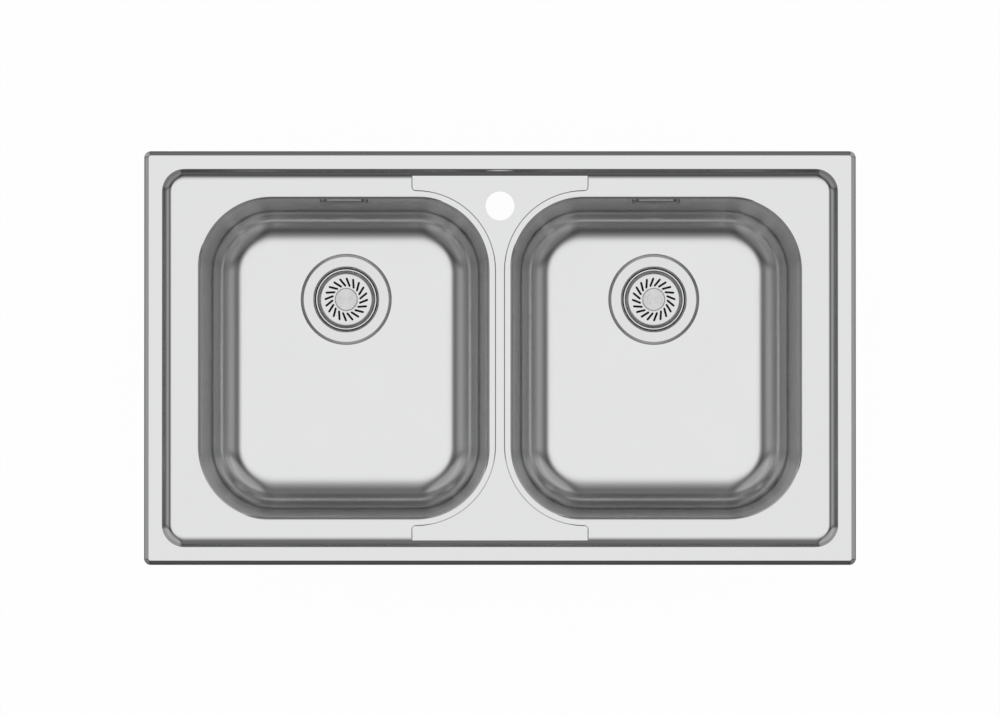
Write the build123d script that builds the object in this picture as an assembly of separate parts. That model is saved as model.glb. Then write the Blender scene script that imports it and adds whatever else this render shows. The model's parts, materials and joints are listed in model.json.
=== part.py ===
"""Double-bowl inset sink in stainless sheet, with its wastes, overflows and fixing clamps.

Millimetres. +X runs along the sink to the right, +Y to the rear where the tap stands, +Z up.
The origin is the middle of the sink on the worktop's surface, where the rim's edge rests.
"""
import os
from math import acos, atan, atan2, cos, degrees, radians, sin, sqrt, tan

from build123d import *

# Sheet steel that the deck, bowls, flanges and baskets are pressed from
sheet = 0.8

# Bowls: openings in the deck, and the wall's section
bowl_length = 354.0
bowl_width = 392.0
bowl_corner = 90.0
bowl_bridge = 24.0
bowl_depth = 180.0
lip_radius = 4.0
wall_draft = 4.0
floor_radius = 40.0

# Deck: margins outside the bowls, the rim with its steep edge and slope, and the step down to the pan
side_margin = 64.0
front_margin = 54.0
rear_margin = 54.0
rim_height = 2.8
edge_rise = 1.0
edge_steepness = 42.0
rim_slope = 24.0
rim_roll = 2.5
rim_flat_corner = 2.0
rim_band = 22.0
pan_drop = 7.5
step_run = 4.9
step_brow = 1.5
step_straight = 0.5
pan_corner = 27.0

# Tap ledge between the bowls
ledge_margin = 6.0
ledge_rise = 0.9
ledge_run = 1.1
ledge_turn = 5.0
tap_hole_diameter = 35.0
tap_setback = 66.0

# Foam strip under the rim
seal_width = 7.0
seal_edge_gap = 0.3

# Strainer flange and its well, in the seat pressed into the bowl floor
flange_diameter = 110.4
flange_bevel = 3.0
flange_bevel_slope = 14.0
seat_gap = 0.35
seat_depth = 2.4
seat_slope = 0.5
seat_bend = 0.5
seat_to_curve = 12.0
well_diameter = 76.0
well_depth = 36.0
well_corner = 4.0
throat_radius = 3.0
flange_lap = 10.2
well_hole_diameter = 11.0
well_hole_count = 8
flange_seal_thickness = 2.0

# Strainer basket, its knob, stem and stopper
basket_gap = 1.1
basket_drop = 4.0
basket_depth = 4.0
basket_wall_run = 5.5
basket_lip = 1.2
slot_count = 20
slot_width = 2.6
slot_inner_radius = 16.2
slot_outer_radius = 26.8
slot_twist = 16.0
knob_diameter = 28.0
knob_height = 7.0
knob_head = 4.0
knob_neck_diameter = 20.0
knob_edge = 1.2
knob_shank_diameter = 5.0
knob_shank_length = 12.0
stem_diameter = 18.0
stem_collar_diameter = 32.0
stem_collar = 2.0
stopper_thickness = 4.0
stopper_gap = 0.3
stopper_edge_gap = 1.0
socket_gap = 1.2

# Strainer body below the bowl, with its seal, centre screw and nut
body_seal_thickness = 3.0
body_flange_width = 12.0
body_flange_thickness = 4.0
body_wall = 3.0
overflow_passage = 3.2
body_cup_depth = 46.0
body_funnel_depth = 16.0
outlet_diameter = 47.8
outlet_wall = 3.4
outlet_length = 30.0
outlet_chamfer = 1.0
gusset_count = 8
gusset_thickness = 2.5
gusset_drop = 14.0
hub_diameter = 19.0
hub_gap = 6.0
hub_height = 14.0
spoke_count = 3
spoke_thickness = 4.0
spoke_start = 30.0
centre_screw_diameter = 6.0
centre_screw_head_diameter = 11.0
centre_screw_head = 3.5
centre_screw_hole_gap = 0.2
screw_head_rounding = 0.35
nut_flats = 10.0
nut_height = 5.0

# Overflow: cover on the rear wall, housing behind it and the moulded pipe down to the body
overflow_drop = 21.0
slot_length = 44.0
slot_height = 12.0
cover_length = 58.0
cover_height = 26.0
cover_stand = 3.0
cover_corner = 5.0
cover_edge = 2.4
cover_notch = 3.0
gasket_thickness = 2.0
gasket_border = 8.0
housing_flange = 3.0
housing_wall = 2.0
housing_length = 52.0
housing_height = 20.0
housing_round = 3.0
housing_edge = 2.0
boss_diameter = 9.0
cover_screw_diameter = 3.5
cover_screw_head_diameter = 7.0
cover_screw_head = 1.4
cover_screw_length = 22.0
spigot_diameter = 22.0
spigot_bore_diameter = 17.0
spigot_reach = 25.0
pipe_wall = 2.0
pipe_fit_gap = 0.2
pipe_overlap = 16.0
pipe_bend_radius = 40.0
pipe_wall_gap = 2.0
overflow_inlet_drop = 26.0

# Sound pad under each bowl floor
pad_length = 190.0
pad_thickness = 2.0
pad_corner = 10.0
pad_to_body = 12.0
pad_to_curve = 14.0

# Fixing clamps
clamp_end_gap = 140.0
clamp_side_gap = 140.0
bracket_thickness = 1.5
bracket_width = 24.0
bracket_weld_leg = 13.0
bracket_foot_gap = 3.0
bracket_drop = 15.0
bracket_bend = 2.0
clamp_axis_out = 6.5
bracket_toe = 8.0
clamp_screw_diameter = 5.0
clamp_screw_head_diameter = 9.5
clamp_screw_head = 3.5
clamp_screw_length = 56.0
clamp_screw_above = 6.0
thread_gap = 0.15
claw_thickness = 2.0
claw_width = 16.0
claw_tail = 9.0
claw_reach = 28.0
claw_tooth = 11.0
claw_bend = 2.5
claw_notch = 6.0
claw_hole_gap = 0.25
claw_seat_gap = 0.3

# Plan and heights that follow
sink_length = 2 * (bowl_length + side_margin) + bowl_bridge
sink_width = bowl_width + front_margin + rear_margin
edge_angle = radians(edge_steepness)
slope_angle = radians(rim_slope)
edge_run = edge_rise / tan(edge_angle)
slope_run = (rim_height - edge_rise) / tan(slope_angle)
rim_edge = edge_run + slope_run + rim_roll * tan(slope_angle / 2)
sink_corner = rim_edge + rim_flat_corner
bowl_x = (bowl_bridge + bowl_length) / 2
bowl_y = (front_margin - rear_margin) / 2
deck_z = rim_height - pan_drop
deck_under_z = deck_z - sheet
floor_z = deck_z - bowl_depth
draft = radians(wall_draft)

# Step from the rim to the pan: a tight brow, a short straight and a wide cove that ends level with the pan
pan_inset = rim_band + step_run
step_turn = atan(pan_drop / step_run)
step_tangents = sqrt(step_run**2 + pan_drop**2) - step_straight
step_cove = step_tangents / tan(step_turn / 2) - step_brow
cove_end = pan_inset + step_cove * tan(step_turn / 2)

# Plan width of the bowl's wall, from the deck's opening to the flat floor
wall_height = bowl_depth - (lip_radius + floor_radius) * (1 - sin(draft))
wall_run = (lip_radius + floor_radius) * cos(draft) + wall_height * tan(draft)

# Drain stack: radii, then heights measured from the top of the bowl floor
flange_radius = flange_diameter / 2
seat_radius = flange_radius + seat_gap
well_radius = well_diameter / 2
drain_hole_radius = flange_radius - flange_lap
drain_y = bowl_width / 2 - wall_run - seat_to_curve - seat_radius
flange_top = -seat_depth + flange_seal_thickness + sheet
well_floor = flange_top - well_depth
seat_under = -seat_depth - sheet
body_top = seat_under - body_seal_thickness
cup_radius = well_radius + sheet + overflow_passage
basket_rim_radius = well_radius - basket_gap
basket_floor_radius = basket_rim_radius - basket_lip - basket_wall_run
body_radius = drain_hole_radius + body_flange_width
cup_floor = body_top - body_cup_depth
outlet_top = cup_floor - body_funnel_depth
hub_top = well_floor - sheet - hub_gap

# Overflow: the rear wall's inner face at the overflow's height, and the pipe's upright behind it
overflow_z = deck_z - overflow_drop
lip_foot_z = deck_z - lip_radius * (1 - sin(draft))
lip_foot_y = bowl_width / 2 - lip_radius * cos(draft)
overflow_wall_y = lip_foot_y - (lip_foot_z - overflow_z) * tan(draft)
pipe_radius = spigot_diameter / 2 + pipe_fit_gap + pipe_wall
pipe_upright_y = lip_foot_y + sheet + pipe_wall_gap + pipe_radius
pipe_level_z = floor_z - overflow_inlet_drop
overflow_plane = Plane(
    origin=(0, overflow_wall_y, overflow_z), x_dir=(1, 0, 0), z_dir=(0, -cos(draft), sin(draft))
)


def rounded_prism(length, width, radius, bottom, top):
    """A prism on a rounded rectangle, between two heights."""
    return Pos(0, 0, bottom) * extrude(RectangleRounded(length, width, radius), top - bottom)


def ring(inner_radius, outer_radius, bottom, top):
    """A flat ring about the Z axis, between two heights."""
    return Pos(0, 0, bottom) * extrude(Circle(outer_radius) - Circle(inner_radius), top - bottom)


def rod(radius, bottom, top):
    """A round bar about the Z axis, between two heights."""
    return Pos(0, 0, bottom) * extrude(Circle(radius), top - bottom)


def turned(*edges):
    """A solid turned about the Z axis from a closed half section in the XZ plane."""
    section = make_face(Plane.XZ * Wire(edges))
    return revolve(section, Axis.Z)


def half_section(points):
    """Edges of a closed polygon, as (radius, height) points."""
    return Polyline(*points, close=True).edges()


def bowl_opening(height):
    """The prism that cuts one bowl's opening out of the deck."""
    cutter = rounded_prism(bowl_length, bowl_width, bowl_corner, -height, height)
    return Pos(0, bowl_y, 0) * cutter


def ledge_outline(inset):
    """The tap ledge seen from above, drawn in from its foot by the inset."""
    arc_centre_x = bowl_bridge / 2 + bowl_corner
    arc_centre_y = bowl_width / 2 - bowl_corner
    arc_radius = bowl_corner + ledge_margin + inset
    turn_radius = ledge_turn - inset
    turn_y = arc_centre_y + arc_radius + turn_radius
    end_y = sink_width / 2 - rim_band - step_brow
    waist = Line((arc_centre_x - arc_radius, -arc_centre_y), (arc_centre_x - arc_radius, arc_centre_y))
    corner = CenterArc((arc_centre_x, arc_centre_y), arc_radius, 90, 90)
    turn = CenterArc((arc_centre_x, turn_y), turn_radius, -90, 90)
    riser = Line((arc_centre_x + turn_radius, turn_y), (arc_centre_x + turn_radius, end_y))
    rear_right = [corner, turn, riser]
    front_right = [mirror(edge, Plane.XZ) for edge in rear_right]
    right = [waist, *rear_right, *front_right]
    left = [mirror(edge, Plane.YZ) for edge in right]
    end_x = arc_centre_x + turn_radius
    ends = [Line((-end_x, y), (end_x, y)) for y in (-end_y, end_y)]
    edges = [edge for shape in [*right, *left, *ends] for edge in shape.edges()]
    return make_face(Wire(edges))


def sink_outline(inset):
    """The sink's outline seen from above, drawn in by the inset."""
    return RectangleRounded(sink_length - 2 * inset, sink_width - 2 * inset, sink_corner - inset)


def rim_block(inset):
    """The block under one skin of the rim: its steep edge, the slope above and the flat top."""
    mean_angle = (edge_angle + slope_angle) / 2
    half_angle = (edge_angle - slope_angle) / 2
    knee_shift = inset / cos(half_angle)
    knee_inset = edge_run + knee_shift * sin(mean_angle)
    knee_z = edge_rise - knee_shift * cos(mean_angle)
    slope = extrude(sink_outline(knee_inset), rim_height - inset - knee_z, taper=90 - rim_slope)
    slope = fillet(slope.faces().sort_by(Axis.Z)[-1].edges(), rim_roll - inset)
    foot = sink_outline(inset / sin(edge_angle))
    edge = extrude(foot, knee_z, taper=90 - edge_steepness) + extrude(foot, -pan_drop - 2 * inset)
    return edge + Pos(0, 0, knee_z) * slope


def deck_skin(inset):
    """The volume under one skin of the deck: the top skin, or the lower one inset by the sheet."""
    block = rim_block(inset)
    slope_shift = inset * tan(step_turn / 2)
    foot_inset = pan_inset - slope_shift
    pan_floor = RectangleRounded(
        sink_length - 2 * foot_inset, sink_width - 2 * foot_inset, pan_corner - step_run + slope_shift
    )
    pan = extrude(pan_floor, pan_drop, taper=degrees(step_turn) - 90)
    pan = fillet(pan.faces().sort_by(Axis.Z)[0].edges(), step_cove + inset)
    block = block - Pos(0, 0, deck_z - inset) * pan
    rim_face = block.faces().sort_by(Axis.Z)[-1]
    block = fillet(rim_face.inner_wires()[0].edges(), step_brow - inset)
    ledge = loft(
        [
            Pos(0, 0, deck_z - inset) * ledge_outline(0),
            Pos(0, 0, deck_z - inset + ledge_rise) * ledge_outline(ledge_run),
        ],
        ruled=True,
    )
    return block + ledge


def make_deck():
    """The pressed deck: sloped rim, step, pan, tap ledge, two bowl openings and the tap hole."""
    deck = deck_skin(0) - deck_skin(sheet)
    below_rim = rounded_prism(2 * sink_length, 2 * sink_width, sink_corner, -4 * pan_drop, 0)
    within_rim = rounded_prism(
        sink_length - 2 * rim_edge, sink_width - 2 * rim_edge, sink_corner, -5 * pan_drop, 0
    )
    deck = deck - (below_rim - within_rim)
    for side in (-1, 1):
        deck = deck - Pos(side * bowl_x, 0, 0) * bowl_opening(4 * pan_drop)
    tap_y = sink_width / 2 - tap_setback
    return deck - Pos(0, tap_y, 0) * rod(tap_hole_diameter / 2, -4 * pan_drop, 4 * pan_drop)


def wall_section():
    """Section of the bowl's wall, as a face: inward distance from the opening, and height."""
    quarter_turn = radians(90)
    half_turn = (quarter_turn - draft) / 2

    def lip(radius):
        middle = (radius * sin(half_turn), radius * cos(half_turn) - lip_radius)
        foot = (radius * cos(draft), radius * sin(draft) - lip_radius)
        return (0, radius - lip_radius), middle, foot

    def curve(radius):
        centre_v = floor_radius - bowl_depth
        top = (wall_run - radius * cos(draft), centre_v - radius * sin(draft))
        middle = (wall_run - radius * sin(half_turn), centre_v - radius * cos(half_turn))
        return top, middle, (wall_run, centre_v - radius)

    inner_lip, outer_lip = lip(lip_radius), lip(lip_radius - sheet)
    inner_curve, outer_curve = curve(floor_radius), curve(floor_radius + sheet)
    edges = [
        ThreePointArc(*inner_lip),
        Line(inner_lip[2], inner_curve[0]),
        ThreePointArc(*inner_curve),
        Line(inner_curve[2], outer_curve[2]),
        ThreePointArc(*outer_curve),
        Line(outer_curve[0], outer_lip[2]),
        ThreePointArc(*outer_lip),
        Line(outer_lip[0], inner_lip[0]),
    ]
    return make_face(Wire([edge for shape in edges for edge in shape.edges()]))


def make_seat():
    """The stepped seat for the strainer, pressed into the bowl floor round the drain hole."""
    foot_radius = seat_radius - seat_slope
    drift = sheet * seat_slope / seat_depth
    face = make_face(
        Plane.XZ
        * Polyline(
            (seat_radius + seat_depth, 0),
            (seat_radius, 0),
            (foot_radius, -seat_depth),
            (drain_hole_radius, -seat_depth),
            (drain_hole_radius, seat_under),
            (foot_radius + sheet, seat_under),
            (seat_radius + sheet - drift, -sheet),
            (seat_radius + seat_depth, -sheet),
            close=True,
        )
    )
    bends = face.vertices().filter_by_position(Axis.X, foot_radius - sheet, seat_radius + 2 * sheet)
    upper_bend = bends.filter_by_position(Axis.Z, -sheet / 2, sheet / 2)
    lower_bend = bends.filter_by_position(Axis.Z, seat_under - sheet / 2, seat_under + sheet / 2)
    face = fillet([*upper_bend, *lower_bend], seat_bend)
    return revolve(face, Axis.Z)


def make_bowl():
    """One deep-drawn bowl: swept wall, flat floor with the strainer's seat, and overflow slot."""
    opening = RectangleRounded(bowl_length, bowl_width, bowl_corner).wire()
    path = Pos(0, 0, deck_z) * opening
    start = path @ 0
    forward = path % 0
    inward = Vector(0, 0, 1).cross(forward)
    if inward.dot(start) > 0:
        inward = -inward
    section_plane = Plane(origin=start, x_dir=inward, z_dir=inward.cross(Vector(0, 0, 1)))
    wall = sweep(section_plane * wall_section(), path=path)
    floor = rounded_prism(
        bowl_length - 2 * wall_run, bowl_width - 2 * wall_run, bowl_corner - wall_run, -sheet, 0
    )
    floor = floor - Pos(0, drain_y, 0) * rod(seat_radius + seat_depth, -2 * sheet, sheet)
    floor = floor + Pos(0, drain_y, 0) * make_seat()
    bowl = wall + Pos(0, 0, floor_z) * floor
    slot = extrude(SlotOverall(slot_length, slot_height), 4 * sheet, both=True)
    return bowl - overflow_plane * slot


def make_rim_seal():
    """Four foam strips under the rim, butted at the corners."""
    edge_inset = rim_edge + seal_edge_gap
    long_y = sink_width / 2 - edge_inset - seal_width / 2
    short_x = sink_length / 2 - edge_inset - seal_width / 2
    height = rim_height - sheet
    long_strip = Box(sink_length - 2 * edge_inset, seal_width, height)
    outer_corners = long_strip.edges().filter_by(Axis.Z).group_by(Axis.Y)[-1]
    long_strip = fillet(outer_corners, rim_flat_corner - seal_edge_gap)
    short_strip = Box(seal_width, sink_width - 2 * edge_inset - 2 * seal_width, height)
    strips = [Rot(0, 0, turn) * Pos(0, long_y, height / 2) * long_strip for turn in (0, 180)]
    strips += [Pos(side * short_x, 0, height / 2) * short_strip for side in (-1, 1)]
    return Compound(strips)


def make_sound_pad():
    """Damping pad on the underside of the bowl floor, in front of the strainer body."""
    front_y = -bowl_width / 2 + wall_run + pad_to_curve
    rear_y = drain_y - body_radius - pad_to_body
    pad = rounded_prism(pad_length, rear_y - front_y, pad_corner, -pad_thickness, 0)
    return Pos(0, (front_y + rear_y) / 2, floor_z - sheet) * pad


def make_strainer_flange():
    """Flange with bevelled edge, throat, well and its ring of drain holes, turned from one sheet."""
    bevel = radians(flange_bevel_slope)
    bevel_x = flange_radius - flange_bevel
    throat_x = well_radius + throat_radius
    corner_x = well_radius - well_corner
    top, low = flange_top, well_floor
    edge_z, throat_z, corner_z = top - flange_bevel * tan(bevel), top - throat_radius, low + well_corner
    inner_throat, outer_corner = throat_radius - sheet, well_corner + sheet
    flange_run = Polyline(
        (throat_x, top),
        (bevel_x, top),
        (flange_radius, edge_z),
        (flange_radius - sheet * sin(bevel), edge_z - sheet * cos(bevel)),
        (bevel_x - sheet * tan(bevel / 2), top - sheet),
        (throat_x, top - sheet),
    )
    hole = (centre_screw_diameter + centre_screw_hole_gap) / 2
    flange = turned(
        *Line((hole, low), (corner_x, low)).edges(),
        *CenterArc((corner_x, corner_z), well_corner, 270, 90).edges(),
        *Line((well_radius, corner_z), (well_radius, throat_z)).edges(),
        *CenterArc((throat_x, throat_z), throat_radius, 90, 90).edges(),
        *flange_run.edges(),
        *CenterArc((throat_x, throat_z), inner_throat, 90, 90).edges(),
        *Line((well_radius + sheet, throat_z), (well_radius + sheet, corner_z)).edges(),
        *CenterArc((corner_x, corner_z), outer_corner, 270, 90).edges(),
        *Line((corner_x, low - sheet), (hole, low - sheet)).edges(),
        *Line((hole, low - sheet), (hole, low)).edges(),
    )
    ring_radius = (centre_screw_head_diameter + 2 * sheet + well_radius - well_corner) / 2
    hole_cutter = rod(well_hole_diameter / 2, low - 2 * sheet, low + sheet)
    return flange - PolarLocations(ring_radius, well_hole_count) * hole_cutter


def make_flange_seal():
    """Ring between the flange and the seat in the bowl floor."""
    outer = flange_radius - flange_bevel - sheet
    return ring(drain_hole_radius + sheet, outer, -seat_depth, -seat_depth + flange_seal_thickness)


def make_body_seal():
    """Ring between the bowl floor and the strainer body."""
    return ring(drain_hole_radius + sheet, body_radius - sheet, body_top, seat_under)


def make_basket(hand):
    """Slotted dish with a hollow wall and a flat lip; hand, +1 or -1, is the way the slots turn."""
    rim_z = flange_top - basket_drop
    floor_top = rim_z - basket_depth
    wall_radius = (basket_wall_run**2 + basket_depth**2) / (2 * basket_depth)
    back_radius = wall_radius + sheet
    wall_turn = degrees(acos((wall_radius - basket_depth) / wall_radius))
    back_turn = degrees(acos((back_radius - basket_depth) / back_radius))
    centre = (basket_floor_radius, floor_top + wall_radius)
    hole = knob_shank_diameter / 2
    wall = CenterArc(centre, wall_radius, 270, wall_turn)
    back = CenterArc(centre, back_radius, 270, back_turn)
    lip = Polyline(wall @ 1, (basket_rim_radius, rim_z), (basket_rim_radius, rim_z - sheet), back @ 1)
    dish = turned(
        *Line((hole, floor_top), wall @ 0).edges(),
        *wall.edges(),
        *lip.edges(),
        *back.edges(),
        *Line(back @ 0, (hole, floor_top - sheet)).edges(),
        *Line((hole, floor_top - sheet), (hole, floor_top)).edges(),
    )
    inner = Vector(slot_inner_radius, 0).rotate(Axis.Z, -hand * slot_twist)
    outer = Vector(slot_outer_radius, 0)
    middle = (inner + outer) * 0.5
    run = outer - inner
    slant = degrees(atan2(run.Y, run.X))
    cutter = extrude(SlotCenterToCenter(run.length - slot_width, slot_width), 2 * sheet, both=True)
    cutter = Pos(middle.X, middle.Y, floor_top) * Rot(0, 0, slant) * cutter
    return dish - PolarLocations(0, slot_count) * cutter


def make_knob():
    """Turned knob on the dish, with its waist and the shank that screws into the stem."""
    base = flange_top - basket_drop - basket_depth
    top = base + knob_height
    under = top - knob_head
    radius, neck = knob_diameter / 2, knob_neck_diameter / 2
    waist = [(0, base), (neck, base), (neck - knob_edge, under)]
    head = [(radius, under), (radius, top), (0, top)]
    knob = turned(*half_section(waist + head))
    rim = knob.edges().filter_by(GeomType.CIRCLE).group_by(SortBy.RADIUS)[-1]
    knob = fillet(rim, knob_edge)
    return knob + rod(knob_shank_diameter / 2, base - knob_shank_length, base)


def make_stem():
    """Stem under the dish: a collar over the stopper and a socket over the centre screw's head."""
    top = flange_top - basket_drop - basket_depth - sheet
    stopper_low = well_floor + stopper_gap
    stopper_top = stopper_low + stopper_thickness
    socket_radius = centre_screw_head_diameter / 2 + socket_gap
    socket_top = well_floor + centre_screw_head + socket_gap
    stem = rod(stem_diameter / 2, stopper_low + stopper_gap, top)
    stem = stem + rod(stem_collar_diameter / 2, stopper_top, stopper_top + stem_collar)
    stem = stem - rod(socket_radius, stopper_low - stopper_gap, socket_top)
    shank_low = top + sheet - knob_shank_length
    return stem - rod(knob_shank_diameter / 2, shank_low, top + sheet)


def make_stopper():
    """Rubber disc pressed on the stem, which shuts the well when the basket is down."""
    low = well_floor + stopper_gap
    outer = well_radius - well_corner - stopper_edge_gap
    return ring(stem_diameter / 2, outer, low, low + stopper_thickness)


def make_strainer_body():
    """Moulded cup under the bowl: clamping flange, gussets, screw hub, outlet and overflow inlet."""
    outer_cup = cup_radius + body_wall
    outlet_radius = outlet_diameter / 2
    outlet_bore = outlet_radius - outlet_wall
    outlet_low = outlet_top - outlet_length
    flange_low = body_top - body_flange_thickness
    body = turned(
        *half_section(
            [
                (cup_radius, body_top),
                (body_radius, body_top),
                (body_radius, flange_low),
                (outer_cup, flange_low),
                (outer_cup, cup_floor),
                (outlet_radius, outlet_top),
                (outlet_radius, outlet_low + outlet_chamfer),
                (outlet_radius - outlet_chamfer, outlet_low),
                (outlet_bore, outlet_low),
                (outlet_bore, outlet_top),
                (cup_radius, cup_floor + body_wall),
            ]
        )
    )
    gusset = make_face(
        Plane.XZ
        * Polyline(
            (outer_cup - body_wall / 2, flange_low),
            (body_radius - gusset_thickness, flange_low),
            (outer_cup - body_wall / 2, flange_low - gusset_drop),
            close=True,
        )
    )
    gusset = extrude(gusset, gusset_thickness / 2, both=True)
    half_pitch = 180 / gusset_count
    body = body + PolarLocations(0, gusset_count, start_angle=half_pitch) * gusset
    inlet = rod(spigot_diameter / 2, cup_radius + body_wall / 2, outer_cup + spigot_reach)
    inlet_bore = rod(spigot_bore_diameter / 2, cup_radius - body_wall, outer_cup + 2 * spigot_reach)
    toward_rear = Pos(0, 0, -overflow_inlet_drop) * Rot(-90, 0, 0)
    body = body + toward_rear * inlet - toward_rear * inlet_bore
    hub_low = hub_top - hub_height
    spoke_run = cup_radius + body_wall / 2
    spoke = extrude(Pos(spoke_run / 2, 0) * Rectangle(spoke_run, spoke_thickness), hub_height - nut_height)
    hub = rod(hub_diameter / 2, hub_low, hub_top)
    hub = hub + Pos(0, 0, hub_low) * PolarLocations(0, spoke_count, start_angle=spoke_start) * spoke
    body = body + hub
    pocket = Pos(0, 0, hub_top - nut_height) * extrude(nut_outline(), 2 * nut_height)
    return body - pocket - rod(centre_screw_diameter / 2, hub_top - 2 * hub_height, hub_top)


def nut_outline():
    """Hexagon of the captive nut."""
    return RegularPolygon(nut_flats / 2, 6, major_radius=False)


def make_nut():
    """Nut held in the strainer body's hub."""
    nut = extrude(nut_outline() - Circle(centre_screw_diameter / 2), nut_height)
    return Pos(0, 0, hub_top - nut_height) * nut


def make_centre_screw():
    """Screw that draws the strainer body up against the bowl floor."""
    head_top = well_floor + centre_screw_head
    head = rod(centre_screw_head_diameter / 2, well_floor, head_top)
    head = fillet(head.edges().sort_by(Axis.Z)[-1], centre_screw_head * screw_head_rounding)
    head = head - Pos(0, 0, head_top) * Box(centre_screw_head_diameter, sheet, 2 * sheet)
    return head + rod(centre_screw_diameter / 2, hub_top - hub_height, well_floor)


def make_overflow_cover():
    """Pressed tray over the overflow slot, open along its lower edge and notched at the top."""
    block = extrude(RectangleRounded(cover_length, cover_height, cover_corner), cover_stand)
    block = fillet(block.faces().sort_by(Axis.Z)[-1].edges(), cover_edge)
    hollow = extrude(
        RectangleRounded(cover_length - 2 * sheet, cover_height - 2 * sheet, cover_corner - sheet),
        cover_stand - sheet,
    )
    hollow = fillet(hollow.faces().sort_by(Axis.Z)[-1].edges(), cover_edge - sheet)
    cover = block - hollow
    gap_height = cover_stand - 2 * sheet
    gate = extrude(Rectangle(slot_length, 4 * sheet), gap_height)
    cover = cover - Pos(0, -cover_height / 2, 0) * gate
    notch = extrude(Rectangle(cover_notch, 4 * sheet), gap_height)
    notch_x = cover_length / 2 - cover_corner - cover_notch / 2
    for side in (-1, 1):
        cover = cover - Pos(side * notch_x, cover_height / 2, 0) * notch
    return cover - rod(cover_screw_diameter / 2, 0, 2 * cover_stand)


def make_overflow_screw():
    """Screw through the cover into the housing's boss."""
    head_top = cover_stand + cover_screw_head
    head = rod(cover_screw_head_diameter / 2, cover_stand, head_top)
    head = fillet(head.edges().sort_by(Axis.Z)[-1], cover_screw_head * screw_head_rounding)
    head = head - Pos(0, 0, head_top) * Box(cover_screw_head_diameter, sheet, 2 * sheet)
    return head + rod(cover_screw_diameter / 2, cover_stand - cover_screw_length, cover_stand)


def gasket_outline():
    """Outline shared by the gasket and the housing's flange, drawn round the overflow slot."""
    border = 2 * gasket_border
    return RectangleRounded(slot_length + border, slot_height + border, gasket_border)


def make_overflow_gasket():
    """Gasket between the back of the rear wall and the housing's flange."""
    gasket = extrude(gasket_outline() - SlotOverall(slot_length, slot_height), gasket_thickness)
    return Pos(0, 0, -sheet - gasket_thickness) * gasket


def make_overflow_housing():
    """Moulded box behind the rear wall that turns the overflow water down into a spigot."""
    flange_back = -sheet - gasket_thickness
    box_back = flange_back - housing_flange
    upright_depth = (pipe_upright_y - overflow_wall_y) / cos(draft)
    back = -upright_depth - spigot_diameter / 2
    flange = Pos(0, 0, box_back) * extrude(gasket_outline(), housing_flange)
    box = rounded_prism(housing_length, housing_height, housing_round, back, box_back)
    box = fillet(box.faces().sort_by(Axis.Z)[0].edges(), housing_edge)
    duct = rounded_prism(
        slot_length, housing_height - 2 * housing_wall, housing_round, back + housing_wall, flange_back
    )
    boss = rod(boss_diameter / 2, back + housing_wall / 2, flange_back)
    housing = overflow_plane * (flange + box)
    spigot_low = overflow_z - housing_height / 2 - spigot_reach
    upright = Pos(0, pipe_upright_y, 0)
    housing = housing + upright * rod(spigot_diameter / 2, spigot_low, overflow_z)
    housing = housing - overflow_plane * duct
    housing = housing - upright * rod(spigot_bore_diameter / 2, spigot_low - spigot_reach, overflow_z)
    bore = rod(cover_screw_diameter / 2, cover_stand - cover_screw_length, cover_stand)
    return housing + overflow_plane * (boss - bore)


def make_overflow_pipe():
    """Moulded pipe pushed over the housing's spigot above and the strainer body's inlet below."""
    inlet_end_y = drain_y + cup_radius + body_wall + spigot_reach
    start = Vector(0, inlet_end_y - pipe_overlap, pipe_level_z)
    spigot_low = overflow_z - housing_height / 2 - spigot_reach
    end = Vector(0, pipe_upright_y, spigot_low + pipe_overlap)
    bend_y = pipe_upright_y - pipe_bend_radius
    bend_z = pipe_level_z + pipe_bend_radius
    quarter = pipe_bend_radius * sqrt(0.5)
    level_end = (0, bend_y, pipe_level_z)
    middle = (0, bend_y + quarter, bend_z - quarter)
    upright_start = (0, pipe_upright_y, bend_z)
    runs = [Line(start, level_end), ThreePointArc(level_end, middle, upright_start), Line(upright_start, end)]
    path = Wire([edge for run in runs for edge in run.edges()])
    mouth = Plane(origin=start, z_dir=(0, 1, 0))
    bore_radius = spigot_diameter / 2 + pipe_fit_gap
    return sweep(mouth * (Circle(pipe_radius) - Circle(bore_radius)), path=path)


def strip_along(points, bend_radius, thickness, width):
    """Bent strip of metal: its middle line in the XZ plane, and its width along Y."""
    path = FilletPolyline(*[(x, 0, z) for x, z in points], radius=bend_radius)
    section = Plane(origin=path @ 0, x_dir=(0, 1, 0), z_dir=path % 0) * Rectangle(width, thickness)
    return sweep(section, path=path)


def make_bracket():
    """Bent bracket welded under the deck, drawn with X outwards from the end of the step's cove."""
    half = bracket_thickness / 2
    leg_out = -bracket_foot_gap - half
    weld_z = deck_under_z - half
    toe_z = deck_under_z - bracket_drop
    toe_out = clamp_axis_out + bracket_toe
    strip = strip_along(
        [(leg_out - bracket_weld_leg, weld_z), (leg_out, weld_z), (leg_out, toe_z), (toe_out, toe_z)],
        bracket_bend,
        bracket_thickness,
        bracket_width,
    )
    hole = Pos(clamp_axis_out, 0, 0) * rod(clamp_screw_diameter / 2 + thread_gap, 2 * toe_z, weld_z - half)
    return strip - hole


def screw_seat_z():
    """Height of the clamp screw's head, where the claw hangs."""
    return deck_under_z - bracket_drop + clamp_screw_above - clamp_screw_length


def make_clamp_screw():
    """Clamp screw hanging from the bracket, about its own axis."""
    seat = screw_seat_z()
    head = rod(clamp_screw_head_diameter / 2, seat - clamp_screw_head, seat)
    head = fillet(head.edges().sort_by(Axis.Z)[0], clamp_screw_head * screw_head_rounding)
    slot = Pos(0, 0, seat - clamp_screw_head) * Box(clamp_screw_head_diameter, sheet, 2 * sheet)
    return head - slot + rod(clamp_screw_diameter / 2, seat, seat + clamp_screw_length)


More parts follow.
